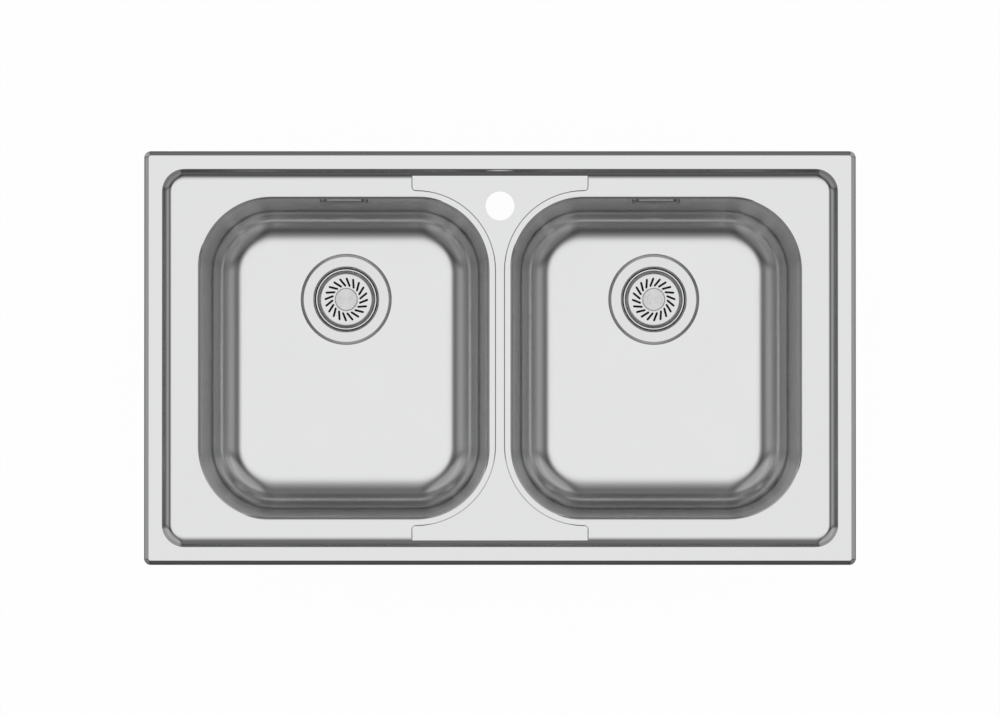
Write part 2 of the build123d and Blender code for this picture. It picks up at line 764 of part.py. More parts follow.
def make_claw():
    """Claw on the screw's axis, pointing along -Y at rest, with a forked tooth turned up at its tip."""
    level = screw_seat_z() + claw_seat_gap + claw_thickness / 2
    reach = claw_reach - claw_thickness / 2
    strip = strip_along(
        [(-claw_tail, level), (reach, level), (reach, level + claw_tooth)],
        claw_bend,
        claw_thickness,
        claw_width,
    )
    notch = Pos(reach, 0, level + claw_tooth) * Box(2 * claw_thickness, claw_notch, claw_notch)
    hole = rod(clamp_screw_diameter / 2 + claw_hole_gap, 2 * level, 0)
    return Rot(0, 0, -90) * (strip - notch - hole)


def clamp_places():
    """Name and placement of each clamp: X outwards, with the origin where the step's cove ends."""
    end_x = sink_length / 2 - clamp_end_gap
    side_y = sink_width / 2 - clamp_side_gap
    foot_x = sink_length / 2 - cove_end
    foot_y = sink_width / 2 - cove_end
    places = {}
    for name, side in (("left", -1), ("right", 1)):
        places[f"front_{name}"] = Pos(side * end_x, -foot_y, 0) * Rot(0, 0, -90)
        places[f"rear_{name}"] = Pos(side * end_x, foot_y, 0) * Rot(0, 0, 90)
    for name, side in (("front", -1), ("rear", 1)):
        places[f"left_{name}"] = Pos(-foot_x, side * side_y, 0) * Rot(0, 0, 180)
        places[f"right_{name}"] = Pos(foot_x, side * side_y, 0)
    return places


def bowl_pieces(hand):
    """Every piece that belongs to one bowl, drawn about the bowl's own middle."""
    drain = Pos(0, drain_y, floor_z)
    return {
        "bowl": make_bowl(),
        "sound_pad": make_sound_pad(),
        "strainer_flange": drain * make_strainer_flange(),
        "flange_seal": drain * make_flange_seal(),
        "body_seal": drain * make_body_seal(),
        "strainer_body": drain * make_strainer_body(),
        "centre_screw": drain * make_centre_screw(),
        "centre_nut": drain * make_nut(),
        "basket": drain * make_basket(hand),
        "basket_knob": drain * make_knob(),
        "basket_stem": drain * make_stem(),
        "basket_stopper": drain * make_stopper(),
        "overflow_cover": overflow_plane * make_overflow_cover(),
        "overflow_screw": overflow_plane * make_overflow_screw(),
        "overflow_gasket": overflow_plane * make_overflow_gasket(),
        "overflow_housing": make_overflow_housing(),
        "overflow_pipe": make_overflow_pipe(),
    }


os.makedirs("parts", exist_ok=True)

nodes = {"deck": make_deck(), "rim_seal": make_rim_seal()}
for side_name, side in (("left", -1), ("right", 1)):
    for piece_name, piece in bowl_pieces(hand=-side).items():
        nodes[f"{side_name}_{piece_name}"] = Pos(side * bowl_x, bowl_y, 0) * piece

brackets = []
for clamp_name, place in clamp_places().items():
    on_axis = place * Pos(clamp_axis_out, 0, 0)
    brackets.append(place * make_bracket())
    nodes[f"clamp_screw_{clamp_name}"] = on_axis * make_clamp_screw()
    nodes[f"claw_{clamp_name}"] = on_axis * make_claw()
nodes["clamp_brackets"] = Compound(brackets)

for node_name, shape in nodes.items():
    export_step(shape, f"parts/{node_name}.step")
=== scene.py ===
# %% [markdown]
# # A double-bowl inset sink, dressed for a studio picture
# The sink comes in as a set of solids: one pressed deck, two drawn bowls, and under them the wastes,
# overflows and clamps. Their shapes are already right, so most of them stay as they are and get a
# finish. What a solid leaves out, such as screw threads, weld marks and the drive in a screw's head,
# is made here as a mesh.

# %% The frame
import json
import math

import bmesh
import bpy
import numpy as np
from mathutils import Matrix, Vector


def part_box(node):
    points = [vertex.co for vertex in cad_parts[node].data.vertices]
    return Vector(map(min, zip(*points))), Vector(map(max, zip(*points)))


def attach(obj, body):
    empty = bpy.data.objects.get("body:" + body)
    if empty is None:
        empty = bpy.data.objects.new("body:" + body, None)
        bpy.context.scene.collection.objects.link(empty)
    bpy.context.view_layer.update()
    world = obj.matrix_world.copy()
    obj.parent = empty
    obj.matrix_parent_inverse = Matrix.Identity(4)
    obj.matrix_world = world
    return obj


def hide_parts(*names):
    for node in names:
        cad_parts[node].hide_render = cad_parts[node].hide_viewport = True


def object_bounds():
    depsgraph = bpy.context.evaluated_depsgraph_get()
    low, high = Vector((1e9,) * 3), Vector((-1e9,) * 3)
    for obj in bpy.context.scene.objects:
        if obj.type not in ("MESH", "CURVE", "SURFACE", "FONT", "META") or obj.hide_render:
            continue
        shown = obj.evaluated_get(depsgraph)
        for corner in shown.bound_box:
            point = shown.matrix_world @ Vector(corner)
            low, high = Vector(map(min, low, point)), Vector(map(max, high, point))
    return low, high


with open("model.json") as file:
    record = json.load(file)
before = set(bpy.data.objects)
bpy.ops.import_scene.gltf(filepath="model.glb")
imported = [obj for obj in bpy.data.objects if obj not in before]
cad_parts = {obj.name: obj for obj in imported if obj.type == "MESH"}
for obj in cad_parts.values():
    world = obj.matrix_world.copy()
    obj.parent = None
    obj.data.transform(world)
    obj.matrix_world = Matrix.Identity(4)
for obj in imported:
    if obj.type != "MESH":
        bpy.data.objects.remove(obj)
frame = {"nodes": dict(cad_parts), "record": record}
solid_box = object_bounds()
nodes = frame["nodes"]
scene = bpy.context.scene
MM = 0.001


def in_mm(corners):
    """The corners of a box in millimetres, rounded for printing."""
    return [[round(value / MM, 1) for value in corner] for corner in corners]


print(len(nodes), "solids loaded, box in mm:", in_mm(solid_box))

# %% [markdown]
# ## Writing shaders as sums
# A finish is a graph of nodes, and a graph is hard to read as code. Wrapping a socket in a small
# class lets `0.2 + 0.1 * grain` add its own Math nodes. Every other node goes through one method,
# which sets the node up first and then fills or links its sockets.

# %% Sockets that add up
class Sock:
    """One output of a shader graph, or the bare graph where there is no output yet."""

    def __init__(self, tree, socket=None):
        self.tree = tree
        self.socket = socket

    def node(self, kind, settings, sockets, out=0):
        """Add a node of this kind: its settings first, then the values or links of its sockets."""
        made = self.tree.nodes.new(kind)
        for key, value in settings.items():
            if key == "stops":
                while len(made.color_ramp.elements) < len(value):
                    made.color_ramp.elements.new(0.5)
                for element, (place, shade) in zip(made.color_ramp.elements, value):
                    element.position = place
                    element.color = (shade, shade, shade, 1)
            else:
                setattr(made, key, value)
        for key, value in sockets.items():
            if isinstance(value, Sock):
                self.tree.links.new(value.socket, made.inputs[key])
            else:
                made.inputs[key].default_value = value
        return Sock(self.tree, made.outputs[out])

    def axes(self):
        """The three numbers of a vector."""
        first = self.node("ShaderNodeSeparateXYZ", {}, {0: self})
        return [Sock(self.tree, output) for output in first.socket.node.outputs]

    def math(self, operation, first, second=0.0):
        return self.node("ShaderNodeMath", {"operation": operation}, {0: first, 1: second})

    def vector(self, operation, first, second=(0, 0, 0)):
        return self.node("ShaderNodeVectorMath", {"operation": operation}, {0: first, 1: second})

    def __add__(self, other):
        return self.math("ADD", self, other)

    def __sub__(self, other):
        return self.math("SUBTRACT", self, other)

    def __rsub__(self, other):
        return self.math("SUBTRACT", other, self)

    def __mul__(self, other):
        return self.math("MULTIPLY", self, other)

    def __truediv__(self, other):
        return self.math("DIVIDE", self, other)

    def __rtruediv__(self, other):
        return self.math("DIVIDE", other, self)

    __radd__ = __add__
    __rmul__ = __mul__


print("sockets add, subtract, multiply and divide")

# %% [markdown]
# ## What every finish needs
# All finishes begin in the same way: a new material, its fixed values, and the place on the object
# that its patterns hang on. Noise, a colour between two shades and a bump come back in most of them,
# so each is a short function.

# %% Beginnings of a finish
def new_finish(name, constants):
    """A material with its fixed values set, its shader node, and the place in metres."""
    material = bpy.data.materials.new(name)
    material.use_nodes = True
    tree = material.node_tree
    shader = tree.nodes["Principled BSDF"]
    for key, value in constants.items():
        shader.inputs[key].default_value = value
    place = Sock(tree).node("ShaderNodeTexCoord", {}, {}, "Object")
    return material, shader, place


def feed(value, target, socket):
    """Link a value into one socket of a node."""
    value.tree.links.new(value.socket, target.inputs[socket])


def noise(place, scale, detail=2.0, stretch=(1, 1, 1)):
    """Noise from 0 to 1, with the scale in grains per metre and a stretch for each axis."""
    moved = place.vector("MULTIPLY", place, stretch)
    return place.node("ShaderNodeTexNoise", {}, {"Vector": moved, "Scale": scale, "Detail": detail})


def blend(place, share, first, second):
    """A colour between two colours."""
    mixed = {"Factor": share, "A": first, "B": second}
    return place.node("ShaderNodeMix", {"data_type": "RGBA"}, mixed, out=2)


def tint(place, share, dark, light):
    """A colour between two shades."""
    return blend(place, share, (*dark, 1), (*light, 1))


def scaled(shade, share):
    """A shade made darker or lighter."""
    return tuple(share * part for part in shade)


def bump(place, height, distance, strength):
    """A bumped normal from a height between 0 and 1."""
    sockets = {"Height": height, "Distance": distance, "Strength": strength}
    return place.node("ShaderNodeBump", {}, sockets)


print("finishes can begin")

# %% [markdown]
# ## Pressed stainless steel
# The deck and bowls are one sheet steel with a fine satin grain: long faint strokes along the sink,
# far finer than a picture's pixels. A bump map would be smoothed away at that size, so the strokes
# tilt the normal directly. The strokes also change the roughness a little, and a broad slow noise
# keeps large flats alive. Only the side that is seen in use is polished. The back of the sheet stays
# as it left the press, greyer and duller, and the way a face looks tells the two apart: a polished
# face looks towards the middle of its bowl.

# %% Satin steel
stroke_stretch = (9.0, 2600.0, 2600.0)
across_strokes = (0.15, 1.0, 0.0)
cloud_scale = 14.0
bright_shades = ((0.770, 0.772, 0.775), (0.826, 0.828, 0.830))
dull_shades = ((0.40, 0.405, 0.41), (0.56, 0.565, 0.57))


def surface_normal(place):
    """The way that the surface faces."""
    return place.node("ShaderNodeNewGeometry", {}, {}, "Normal")


def tilted(place, amount, direction):
    """The surface's normal, leaning along a direction by an amount that changes over it."""
    scale = {"operation": "SCALE"}
    lean = place.node("ShaderNodeVectorMath", scale, {0: direction, "Scale": amount})
    return place.vector("NORMALIZE", place.vector("ADD", surface_normal(place), lean))


def polished_side(place, middle):
    """1 where a sheet faces the middle of its bowl, and 0 on its back.

    There is a bowl on either side of the sink, so the middle lies at plus and at minus its X.
    """
    side = place.math("SIGN", place.axes()[0])
    centre = {0: side * middle[0], 1: middle[1], 2: middle[2]}
    away = place.vector("SUBTRACT", place, place.node("ShaderNodeCombineXYZ", {}, centre))
    dot = {"operation": "DOT_PRODUCT"}
    facing = place.node("ShaderNodeVectorMath", dot, {0: surface_normal(place), 1: away}, 1)
    return place.math("LESS_THAN", facing, 0.0)


def satin_steel(name, shine, rough, lean, middle):
    """Sheet steel brushed along X and polished towards the middle. Shine scales its shades."""
    material, shader, place = new_finish(name, {"Metallic": 1.0})
    strokes = noise(place, 1.0, 3.0, stroke_stretch)
    cloud = noise(place, cloud_scale, 3.0)
    polished = polished_side(place, middle)
    deep, pale = (scaled(shade, shine) for shade in bright_shades)
    bright = tint(place, strokes * 0.7 + cloud * 0.3, deep, pale)
    dull = tint(place, cloud * 0.7 + strokes * 0.3, *dull_shades)
    feed(blend(place, polished, dull, bright), shader, "Base Color")
    worn = rough + 0.06 * (strokes - 0.5) + 0.06 * (cloud - 0.5)
    feed(worn + (1 - polished) * (0.16 + 0.25 * (cloud - 0.5)), shader, "Roughness")
    feed(tilted(place, lean * (strokes - 0.5), across_strokes), shader, "Normal")
    return material


above_rim = 10 * MM
bowl_low, bowl_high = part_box("right_bowl")
bowl_middle = ((bowl_low.x + bowl_high.x) / 2, (bowl_low.y + bowl_high.y) / 2, above_rim)
above_deck = (0.0, 0.0, 100.0)
deck_steel = satin_steel("deck_satin_steel", 0.995, 0.14, 0.03, above_deck)
bowl_steel = satin_steel("bowl_satin_steel", 1.05, 0.20, 0.02, bowl_middle)
print("steel finishes:", deck_steel.name, bowl_steel.name)

# %% [markdown]
# ## Turned and polished steel
# The strainer parts are spun and turned on a lathe, so their marks run in rings round the drain.
# Rings that lean the normal outwards and inwards draw the light out into the fans that a turned knob
# shows. Both drains stand at the same place in their bowls, so folding X about the middle of the sink
# serves both with one finish.

# %% Turned steel
flange_low, flange_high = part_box("right_strainer_flange")
drain = (flange_low + flange_high) / 2
least_radius = 1e-6
wander_scale = 900.0
wander_turn = 3.0
turned_grain = 60.0


def turned_steel(name, shade, rough, pitch, lean):
    """Steel with lathe rings of the given pitch round each drain."""
    material, shader, place = new_finish(name, {"Metallic": 1.0})
    x, y, _ = place.axes()
    across = x - place.math("SIGN", x) * drain.x
    along = y - drain.y
    radius = place.math("SQRT", across * across + along * along) + least_radius
    turned_out = {0: across / radius, 1: along / radius, 2: 0.0}
    outward = place.node("ShaderNodeCombineXYZ", {}, turned_out)
    wander = noise(place, wander_scale, 2.0)
    rings = place.math("SINE", radius * (2 * math.pi / pitch) + wander_turn * wander)
    grain = noise(place, turned_grain, 4.0)
    feed(tint(place, grain, scaled(shade, 0.94), scaled(shade, 1.03)), shader, "Base Color")
    feed(rough + 0.08 * (grain - 0.5), shader, "Roughness")
    feed(tilted(place, lean * rings, outward), shader, "Normal")
    return material


flange_steel = turned_steel("spun_strainer_steel", (0.825, 0.827, 0.83), 0.20, 0.7 * MM, 0.05)
knob_steel = turned_steel("turned_knob_steel", (0.93, 0.932, 0.935), 0.14, 0.5 * MM, 0.21)
print("turned finishes about the drain at mm:", in_mm([drain])[0])

# %% [markdown]
# ## Plated metal, brass and screws
# The clamps under the deck are pressed from mild steel and zinc plated. Fresh zinc is a bluish grey
# with soft blotches where the plating took more or less. Screws are plain drawn steel, the captive
# nuts brass. The overflow covers are a rough plate, and their grey, darker than the deck's, is
# painted shade for the dim light of a plate that stands flush on the bowl's wall.

# %% Plated metal
scratch_stretch = (900.0, 900.0, 5200.0)
plating_depth = 0.05 * MM


def plated(name, dark, light, rough, blotch):
    """Plated or drawn metal with blotches of the given size per metre and fine scratches."""
    material, shader, place = new_finish(name, {"Metallic": 1.0})
    clouds = noise(place, blotch, 4.0)
    scratch = noise(place, 1.0, 2.0, scratch_stretch)
    feed(tint(place, clouds * 0.8 + scratch * 0.2, dark, light), shader, "Base Color")
    feed(rough + 0.25 * (clouds - 0.5) + 0.1 * (scratch - 0.5), shader, "Roughness")
    feed(bump(place, scratch * 0.4 + clouds * 0.6, plating_depth, 0.6), shader, "Normal")
    return material


clamp_zinc = plated("zinc_plated_clamp", (0.50, 0.52, 0.54), (0.70, 0.72, 0.74), 0.38, 220.0)
screw_steel = plated("drawn_screw_steel", (0.52, 0.52, 0.52), (0.68, 0.68, 0.68), 0.30, 400.0)
# The cover's grey, darker than the deck's steel, is painted shade; its blotches and roughness are its
# own.
painted_shade_cover_plate = plated("overflow_cover_painted_shade", (0.45, 0.452, 0.455), (0.55, 0.552, 0.555), 0.42, 300.0)
nut_brass = plated("nut_brass", (0.55, 0.40, 0.16), (0.72, 0.55, 0.25), 0.34, 350.0)
print("plated:", clamp_zinc.name, screw_steel.name, painted_shade_cover_plate.name, nut_brass.name)

# %% [markdown]
# ## Rubber, foam, damping pad and moulded plastic
# These are matt, and their detail is small: a bloom on rubber, cells in the foam strip, the dimpled
# face of a bitumen pad, and the faint spark-eroded skin of a moulding. A cell texture gives foam and
# dimples, noise gives the rest.

# %% Matt finishes
skin_bloom = 35.0
cell_bloom = 40.0


def matt(name, dark, light, rough, grain, depth):
    """Rubber or plastic with a moulded skin: grain is in grains per metre, depth in metres."""
    material, shader, place = new_finish(name, {"Specular IOR Level": 0.4})
    skin = noise(place, grain, 3.0)
    bloom = noise(place, skin_bloom, 4.0)
    feed(tint(place, bloom * 0.75 + skin * 0.25, dark, light), shader, "Base Color")
    feed(rough + 0.18 * (bloom - 0.5) + 0.08 * (skin - 0.5), shader, "Roughness")
    feed(bump(place, skin, depth, 0.7), shader, "Normal")
    return material


def celled(name, dark, light, rough, cells, depth):
    """Foam or a dimpled sheet: round cells of the given count per metre."""
    material, shader, place = new_finish(name, {"Specular IOR Level": 0.3})
    cell = place.node("ShaderNodeTexVoronoi", {}, {"Vector": place, "Scale": cells})
    bloom = noise(place, cell_bloom, 3.0)
    feed(tint(place, cell * 0.6 + bloom * 0.5, dark, light), shader, "Base Color")
    feed(rough + 0.15 * (bloom - 0.5), shader, "Roughness")
    feed(bump(place, 1 - cell, depth, 0.9), shader, "Normal")
    return material


rubber_shades = ((0.018, 0.018, 0.019), (0.040, 0.040, 0.041))
waste_shades = ((0.76, 0.765, 0.76), (0.84, 0.845, 0.84))
stem_shades = ((0.60, 0.61, 0.62), (0.70, 0.71, 0.72))
foam_shades = ((0.030, 0.031, 0.033), (0.075, 0.077, 0.080))
pad_shades = ((0.030, 0.029, 0.028), (0.080, 0.078, 0.075))
black_rubber = matt("black_rubber", *rubber_shades, 0.55, 2500.0, 0.04 * MM)
waste_plastic = matt("waste_moulding", *waste_shades, 0.42, 1800.0, 0.03 * MM)
stem_plastic = matt("stem_moulding", *stem_shades, 0.45, 1800.0, 0.03 * MM)
rim_foam = celled("rim_foam", *foam_shades, 0.85, 900.0, 0.25 * MM)
sound_pad = celled("bitumen_pad", *pad_shades, 0.80, 180.0, 0.6 * MM)
matt_finishes = (black_rubber, waste_plastic, stem_plastic, rim_foam, sound_pad)
print("matt:", *(finish.name for finish in matt_finishes))

# %% [markdown]
# ## Giving every solid its finish
# A solid's name says what it is made of, so a short list of name endings is enough. A solid that no
# ending fits would stay bare, so such a name stops the script.

# %% Finishes by name
finishes = {
    "deck": deck_steel,
    "bowl": bowl_steel,
    "strainer_flange": flange_steel,
    "basket": flange_steel,
    "basket_knob": knob_steel,
    "overflow_cover": painted_shade_cover_plate,
    "centre_screw": screw_steel,
    "overflow_screw": screw_steel,
    "centre_nut": nut_brass,
    "clamp_brackets": clamp_zinc,
    "rim_seal": rim_foam,
    "sound_pad": sound_pad,
    "basket_stem": stem_plastic,
    "strainer_body": waste_plastic,
    "overflow_housing": waste_plastic,
    "overflow_pipe": waste_plastic,
    "basket_stopper": black_rubber,
    "flange_seal": black_rubber,
    "body_seal": black_rubber,
    "overflow_gasket": black_rubber,
}


def finish_for(name):
    """The finish of a solid, by the longest ending that fits its name."""
    if name.startswith("clamp_screw"):
        return screw_steel
    if name.startswith("claw"):
        return clamp_zinc
    fitting = [ending for ending in finishes if name.endswith(ending)]
    return finishes[max(fitting, key=len)]


for name, solid in nodes.items():
    solid.data.materials.clear()
    solid.data.materials.append(finish_for(name))
print("finished", len(nodes), "solids")

# %% [markdown]
# ## Turned meshes
# Threads, screw heads and weld marks are all turned forms. A plain shank with a bumped pattern keeps
# a smooth outline, so such a form is made as a real mesh: rings about its axis, closely stacked,
# each with its own radius on every side. One function joins the rings to a closed mesh and serves
# them all.

# %% Rings about an axis
smooth_up_to = math.radians(32)


def soften(mesh):
    """Smooth shading that stops at the mesh's real edges."""
    mesh.polygons.foreach_set("use_smooth", [True] * len(mesh.polygons))
    mesh.set_sharp_from_angle(angle=smooth_up_to)


def ring_mesh(name, radii, heights, looped=False):
    """A closed mesh of rings about Z: radii has a row for each height and a column for each side.

    The first and last ring get a flat end each, or are joined to each other if they are looped.
    """
    rings, sides = radii.shape
    angle = np.linspace(0, 2 * math.pi, sides, endpoint=False)
    level = np.repeat(np.asarray(heights)[:, None], sides, axis=1)
    points = np.stack([radii * np.cos(angle), radii * np.sin(angle), level], axis=2).reshape(-1, 3)
    faces = []
    for ring in range(rings if looped else rings - 1):
        low, high = ring * sides, (ring + 1) % rings * sides
        for side in range(sides):
            beside = (side + 1) % sides
            faces.append((low + side, low + beside, high + beside, high + side))
    if not looped:
        faces.append(tuple(range(sides - 1, -1, -1)))
        faces.append(tuple(range((rings - 1) * sides, rings * sides)))
    mesh = bpy.data.meshes.new(name)
    mesh.from_pydata(points.tolist(), [], faces)
    soften(mesh)
    return mesh


def joined(name, parts):
    """One mesh from several, each with the place that it moves to."""
    whole = bmesh.new()
    for part, place in parts:
        before = len(whole.verts)
        whole.from_mesh(part)
        whole.verts.ensure_lookup_table()
        bmesh.ops.translate(whole, verts=whole.verts[before:], vec=place)
    mesh = bpy.data.meshes.new(name)
    whole.to_mesh(mesh)
    whole.free()
    soften(mesh)
    return mesh


def place_piece(name, mesh, place, body, finish):
    """Stand a mesh at a place on the sink, finish it and let it ride on a body."""
    piece = bpy.data.objects.new(name, mesh)
    piece.location = place
    scene.collection.objects.link(piece)
    if not mesh.materials:
        mesh.materials.append(finish)
    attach(piece, body)
    return piece


print("rings ready, smooth up to", round(math.degrees(smooth_up_to)), "degrees")

# %% [markdown]
# ## A screw's thread
# Each clamp hangs on a long machine screw. The thread's ridge climbs one pitch in each turn, so the
# radius depends on the height and on the angle together. The ridge ends in a chamfer, as on a real
# screw, so that it finds its claw easily.

# %% Threaded shank
screw_names = [name for name in nodes if name.startswith("clamp_screw_")]
clamp_names = sorted(name.removeprefix("clamp_screw_") for name in screw_names)
screw_low, screw_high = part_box("clamp_screw_" + clamp_names[0])
head_height = 3.5 * MM
shank_length = screw_high.z - screw_low.z - head_height
shank_root = 0.5 * MM
thread_crest = 2.5 * MM
thread_root = 2.08 * MM
thread_pitch = 0.8 * MM
flank_start = 0.85
flank_run = 0.6
tip_share = 0.8
rows_per_turn = 6
thread_sides = 18


def ridge(turns, root, crest):
    """Radius along a thread, counted in turns: a flat root, two flanks and a narrow crest."""
    from_crest = np.abs(turns % 1.0 - 0.5) * 2
    return root + (crest - root) * np.clip((flank_start - from_crest) / flank_run, 0, 1)


def threaded_shank():
    """The screw's shank, from inside the head, whose seat is at height 0, up to its tip."""
    heights = np.arange(-shank_root, shank_length, thread_pitch / rows_per_turn)
    heights = np.append(heights, shank_length)
    angle = np.linspace(0, 1, thread_sides, endpoint=False)
    radii = ridge(heights[:, None] / thread_pitch - angle, thread_root, thread_crest)
    chamfer = thread_root * tip_share + shank_length - heights
    return ring_mesh("screw_shank", np.minimum(radii, chamfer[:, None]), heights)


shank = threaded_shank()
print("threaded shank of", len(shank.polygons), "faces")

# %% [markdown]
# ## A screw's head
# The head is turned in the same way, with a rounded edge, and the driver's slot is cut into it with a
# Boolean. Cutting once and keeping the result as a plain mesh lets all eight screws share it.

# %% Slotted heads and whole screws
head_radius = (screw_high.x - screw_low.x) / 2
head_round = 1.2 * MM
head_round_steps = 7
head_sides = 40
slot_width = 1.2 * MM
slot_depth = 1.5 * MM


def slot_cutter():
    """A block that cuts the driver's slot."""
    mesh = bpy.data.meshes.new("driver_slot")
    size = Matrix.Diagonal((3 * head_radius, slot_width, 2 * slot_depth, 1))
    block = bmesh.new()
    bmesh.ops.create_cube(block, size=1.0, matrix=size)
    bmesh.ops.translate(block, verts=block.verts, vec=(0, 0, -head_height))
    block.to_mesh(mesh)
    block.free()
    return bpy.data.objects.new("driver_slot", mesh)


def slotted_head():
    """The screw's head below its seat, with a rounded edge and a slot for the driver."""
    turn = np.linspace(0, math.pi / 2, head_round_steps)
    rounding = head_radius - head_round + head_round * np.sin(turn)
    heights = np.concatenate([-head_height + head_round * (1 - np.cos(turn)), [0.0]])
    radii = np.repeat(np.append(rounding, head_radius)[:, None], head_sides, axis=1)
    head = bpy.data.objects.new("screw_head", ring_mesh("screw_head", radii, heights))
    cutter = slot_cutter()
    for piece in (head, cutter):
        scene.collection.objects.link(piece)
    cut = head.modifiers.new("slot", "BOOLEAN")
    cut.operation = "DIFFERENCE"
    cut.solver = "EXACT"
    cut.object = cutter
    bpy.context.view_layer.update()
    finished = head.evaluated_get(bpy.context.evaluated_depsgraph_get())
    slotted = bpy.data.meshes.new_from_object(finished)
    for piece in (head, cutter):
        bpy.data.objects.remove(piece)
    return slotted


screw_mesh = joined("clamp_screw", [(shank, (0, 0, 0)), (slotted_head(), (0, 0, 0))])
clamp_axes = {}
for name in clamp_names:
    low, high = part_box("clamp_screw_" + name)
    clamp_axes[name] = (low + high) / 2
    seat = Vector((clamp_axes[name].x, clamp_axes[name].y, low.z + head_height))
    body = "clamp_" + name
    screw = place_piece("threaded_screw_" + name, screw_mesh, seat, body, screw_steel)
    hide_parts("clamp_screw_" + name)
print(len(clamp_axes), "threaded screws of", len(screw_mesh.polygons), "faces")

# %% [markdown]
# ## The outlet's thread
# A trap's nut screws on the outlet under each waste. Its moulded thread is coarse, about eleven turns
# to the inch, and starts and ends by fading into the tube. A sleeve of rings laid on the tube shows
# it, and the ends of the sleeve sink into the tube, so that no edge is seen.

# %% Outlet threads
outlet = next(mount for mount in frame["record"]["mounts"] if mount["name"] == "right_outlet")
outlet_radius = outlet["dims"]["r_mm"] * MM
outlet_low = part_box("right_strainer_body")[0].z
outlet_pitch = 2.309 * MM
outlet_run = 9.5 * outlet_pitch
outlet_start = 2.0 * MM
thread_sink = 0.05 * MM
thread_proud = 0.35 * MM
sleeve_wall = 0.6 * MM
sleeve_rows = 96
sleeve_sides = 72


def outlet_sleeve():
    """The moulded thread from its lower end at height 0, fading out over its end turns."""
    heights = np.linspace(0, outlet_run, sleeve_rows)
    angle = np.linspace(0, 1, sleeve_sides, endpoint=False)
    turns = heights[:, None] / outlet_pitch - angle
    fade = np.clip(np.minimum(heights, outlet_run - heights) / outlet_pitch, 0, 1)[:, None]
    crest = outlet_radius - thread_sink + (thread_sink + thread_proud) * fade
    outside = ridge(turns, outlet_radius - thread_sink, crest)
    inside = np.full((2, sleeve_sides), outlet_radius - sleeve_wall)
    levels = [*heights, outlet_run, 0.0]
    return ring_mesh("outlet_thread", np.vstack([outside, inside]), levels, looped=True)


outlet_mesh = outlet_sleeve()
for side_name, side in (("left", -1), ("right", 1)):
    foot = Vector((side * drain.x, drain.y, outlet_low + outlet_start))
    name = side_name + "_outlet_thread"
    place_piece(name, outlet_mesh, foot, "sink", waste_plastic)
print("outlet threads of", len(outlet_mesh.polygons), "faces each")

# %% [markdown]
# ## Spot welds
# The brackets are spot welded to the underside of the deck, two welds to each. The electrode leaves a
# shallow dish with a raised ring and a straw-coloured stain. Each mark is a small turned form on the
# bracket's leg, placed from the screw that hangs in the same bracket.

# %% Spot welds
bracket_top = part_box("clamp_brackets")[1].z
bracket_sheet = 1.5 * MM
axis_to_weld = 17.5 * MM
weld_spread = 6.0 * MM
weld_sides = 28
inward = {"front": (0, 1), "rear": (0, -1), "left": (1, 0), "right": (-1, 0)}


def weld_mark():
    """One weld mark hanging below height 0: a low slope, a raised ring and a dished middle.

    The profile is a list of radii and heights in millimetres.
    """
    profile = [(0.02, 0.0), (0.9, -0.02), (1.7, -0.05), (2.1, -0.16), (2.4, -0.16), (2.8, 0.05)]
    radii = np.repeat(np.array([[radius * MM] for radius, _ in profile]), weld_sides, axis=1)
    return ring_mesh("weld_mark", radii, [height * MM for _, height in profile])


def weld_places():
    """Where the weld marks lie: two on each bracket's leg, side by side."""
    for name, axis in clamp_axes.items():
        x, y = inward[name.split("_")[0]]
        for across in (-1, 1):
            yield Vector((
                axis.x + x * axis_to_weld + y * across * weld_spread,
                axis.y + y * axis_to_weld + x * across * weld_spread,
                bracket_top - bracket_sheet,
            ))


weld_stain = plated("weld_stain", (0.40, 0.36, 0.30), (0.58, 0.54, 0.46), 0.45, 900.0)
mark = weld_mark()
welds = joined("bracket_welds", [(mark, place) for place in weld_places()])
place_piece("bracket_welds", welds, (0, 0, 0), "sink", weld_stain)
print("weld marks:", 2 * len(clamp_axes))

# %% [markdown]
# ## The floor
# The sink was photographed on white, so the floor is white round it and fades to grey some metres
# out, where a studio's floor would lie in the dark. White paint under a lamp would never look quite
# white, so the floor glows for the camera, and for what steel mirrors, and is matt to all other
# light. A small share of it stays matt for the camera too, and that share keeps the sink's shadow.
# Right under the sink, steel mirrors the matt floor in its shade, so the bowls darken to their foot.

# %% Floor
floor_half = 40.0
floor_height = solid_box[0].z - 0.5 * MM
fade_reach = 10.0
pale_stops = [(0.0, 1.0), (0.10, 1.0), (0.25, 0.70), (0.5, 0.40), (1.0, 0.20)]
glow_share = 0.97


def floor_sheet(half, height):
    """A level sheet under the sink."""
    mesh = bpy.data.meshes.new("studio_floor")
    turns = ((-1, -1), (1, -1), (1, 1), (-1, 1))
    mesh.from_pydata([(half * x, half * y, height) for x, y in turns], [], [(0, 1, 2, 3)])
    sheet = bpy.data.objects.new("studio_floor", mesh)
    scene.collection.objects.link(sheet)
    return sheet


floor = floor_sheet(floor_half, floor_height)
floor_white = bpy.data.materials.new("floor_white")
floor_white.use_nodes = True
floor_white.cycles.emission_sampling = "NONE"
tree = floor_white.node_tree
tree.nodes.remove(tree.nodes["Principled BSDF"])
seen, mirrored, through = (
    Sock(tree).node("ShaderNodeLightPath", {}, {}, ray)
    for ray in ("Is Camera Ray", "Is Glossy Ray", "Is Transmission Ray")
)
spot = seen.node("ShaderNodeTexCoord", {}, {}, "Object")
radius = spot.node("ShaderNodeVectorMath", {"operation": "LENGTH"}, {0: spot}, 1)
pale = spot.node("ShaderNodeValToRGB", {"stops": pale_stops}, {0: radius / fade_reach})
beyond = spot.vector("SUBTRACT", spot.vector("ABSOLUTE", spot), tuple(solid_box[1]))
past_side, past_end, _ = beyond.axes()
outside = spot.math("GREATER_THAN", spot.math("MAXIMUM", past_side, past_end), 0.0)
matt_white = spot.node("ShaderNodeBsdfDiffuse", {}, {"Color": pale})
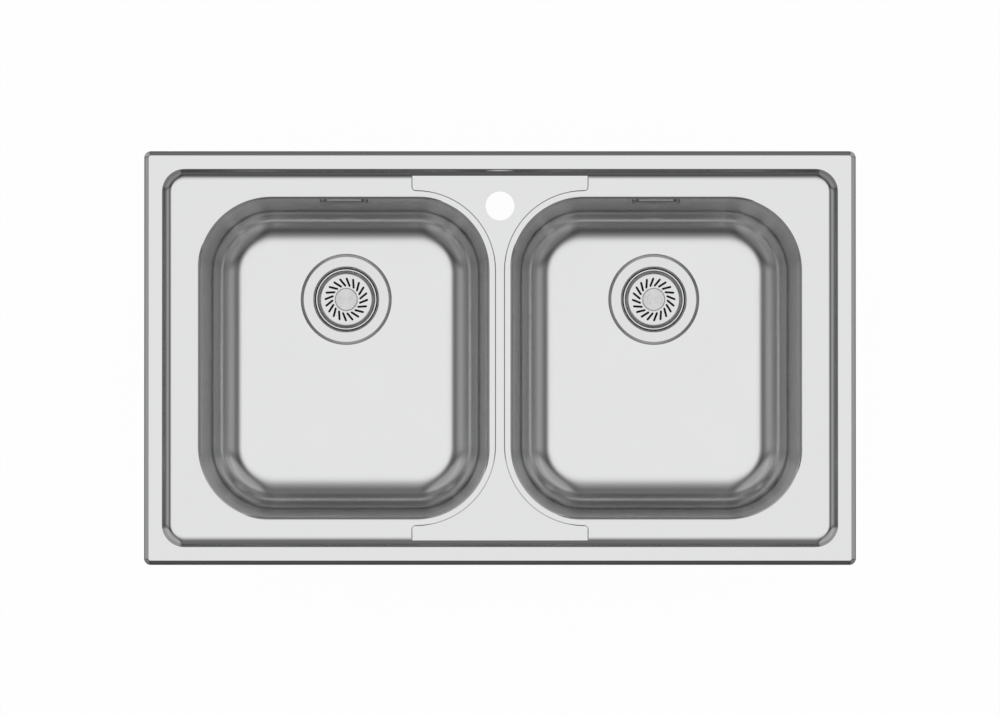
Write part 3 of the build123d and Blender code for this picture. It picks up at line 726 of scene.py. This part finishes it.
glow = spot.node("ShaderNodeEmission", {}, {"Color": pale, "Strength": 1.0})
share = glow_share * (seen + mirrored * outside + through)
mixed = spot.node("ShaderNodeMixShader", {}, {0: share, 1: matt_white, 2: glow})
feed(mixed, tree.nodes["Material Output"], "Surface")
floor.data.materials.append(floor_white)
print("floor at mm:", round(floor_height / MM, 1))

# %% [markdown]
# ## The room's light
# Steel shows its surroundings, so the light is half of the finish. Hard-edged lamps would draw hard
# lines in the bowls, so the room itself is the light: its brightness changes with the direction.
# Overhead it is bright, and the flat faces mirror that to the camera. Towards the sides it falls into
# a dim gap, which draws the dark lines along the step and the bowls' edges, and a pale strip stands
# below the gap. It fades slowly to the rear and faster to the front. Low in the room's corners stand
# pale panels, which light the deck when it is seen from low down, and above them the dim gap goes
# on, which darkens the bowls' corners.

# %% Room
scene.view_settings.view_transform = "Standard"
side_stops = [
    (0.0, 1.0), (0.24, 1.0), (0.41, 0.17), (0.47, 0.13), (0.56, 0.17),
    (0.66, 0.34), (0.74, 0.42), (0.82, 0.36), (0.90, 0.18), (0.98, 0.08),
]
rear_stops = [
    (0.0, 0.02), (0.11, 0.06), (0.185, 0.14), (0.265, 0.31), (0.36, 0.70), (0.45, 0.96), (0.55, 0.97),
    (0.64, 0.74), (0.735, 0.44), (0.815, 0.27), (0.89, 0.15), (0.95, 0.09), (0.99, 0.07),
]
low_stops = [(0.08, 0.0), (0.22, 0.09), (0.50, 0.09), (0.66, 0.0)]
gap_depth = 0.75
gap_span = (0.04, 0.10)
rear_panel = 0.36
rear_panel_span = (0.12, 0.20)
front_panel = 0.18
front_panel_span = (0.12, 0.22)


def ramp(place, stops):
    """A brightness that follows stops from 0 to 1."""
    return place.node("ShaderNodeValToRGB", {"stops": stops}, {0: place})


def rising(value, start, full):
    """0 where a value is below its start, rising to 1 where it is full."""
    clamped = {"operation": "ADD", "use_clamp": True}
    run = full - start
    return value.node("ShaderNodeMath", clamped, {0: value / run, 1: -start / run})


world = bpy.data.worlds.new("studio")
scene.world = world
world.use_nodes = True
tree = world.node_tree
sideways, rearwards, upwards = Sock(tree).node("ShaderNodeTexCoord", {}, {}, "Generated").axes()
from_middle = sideways.math("ABSOLUTE", sideways)
to_corner = from_middle * rearwards
corner_gap = rising(to_corner.math("ABSOLUTE", to_corner), *gap_span)
overhead = ramp(from_middle, side_stops) * ramp(rearwards * 0.5 + 0.5, rear_stops)
at_rear = rear_panel * rising(to_corner, *rear_panel_span)
at_front = front_panel * rising(-1 * to_corner, *front_panel_span)
radiance = overhead * (1 - gap_depth * corner_gap) + ramp(upwards, low_stops) + at_rear + at_front
feed(radiance, tree.nodes["Background"], "Color")
print("room of", len(tree.nodes), "nodes")

# %% [markdown]
# ## A lamp for rubber and plastic
# The room is dim low down, so matt pieces would look darker than their colour. One large lamp brings
# them to it. Steel doesn't mirror this lamp, because its edge would show in the bowls.

# %% Lamp
fill_radiance = 1.1
fill_height = 5.0
fill = bpy.data.lights.new("matt_fill", "AREA")
fill.shape = "SQUARE"
fill.size = 8.0
fill.energy = fill_radiance * math.pi * fill.size**2
fill_lamp = bpy.data.objects.new("matt_fill", fill)
fill_lamp.location = (0, 0, fill_height)
fill_lamp.visible_camera = False
fill_lamp.visible_glossy = False
scene.collection.objects.link(fill_lamp)
print("one lamp of", round(fill.energy, 1), "W")

# %% [markdown]
# ## The camera
# The photograph looks almost straight down and shows no lines that run together, so a long lens from
# far up fits it. The lens follows from the width of the picture at the rim and the distance to it.

# %% Camera
picture_width = 1.2083
aim = Vector((0.0, 0.0, solid_box[1].z))
eye = Vector((0.0, -0.167, 11.0))
camera = bpy.data.objects.new("camera", bpy.data.cameras.new("camera"))
camera.location = eye
camera.rotation_mode = "QUATERNION"
camera.rotation_quaternion = (eye - aim).to_track_quat("Z", "Y")
camera.data.lens = camera.data.sensor_width * (eye - aim).length / picture_width
camera.data.clip_end = 100.0
scene.collection.objects.link(camera)
scene.camera = camera
print("camera", round((eye - aim).length, 2), "m up, lens", round(camera.data.lens, 1))
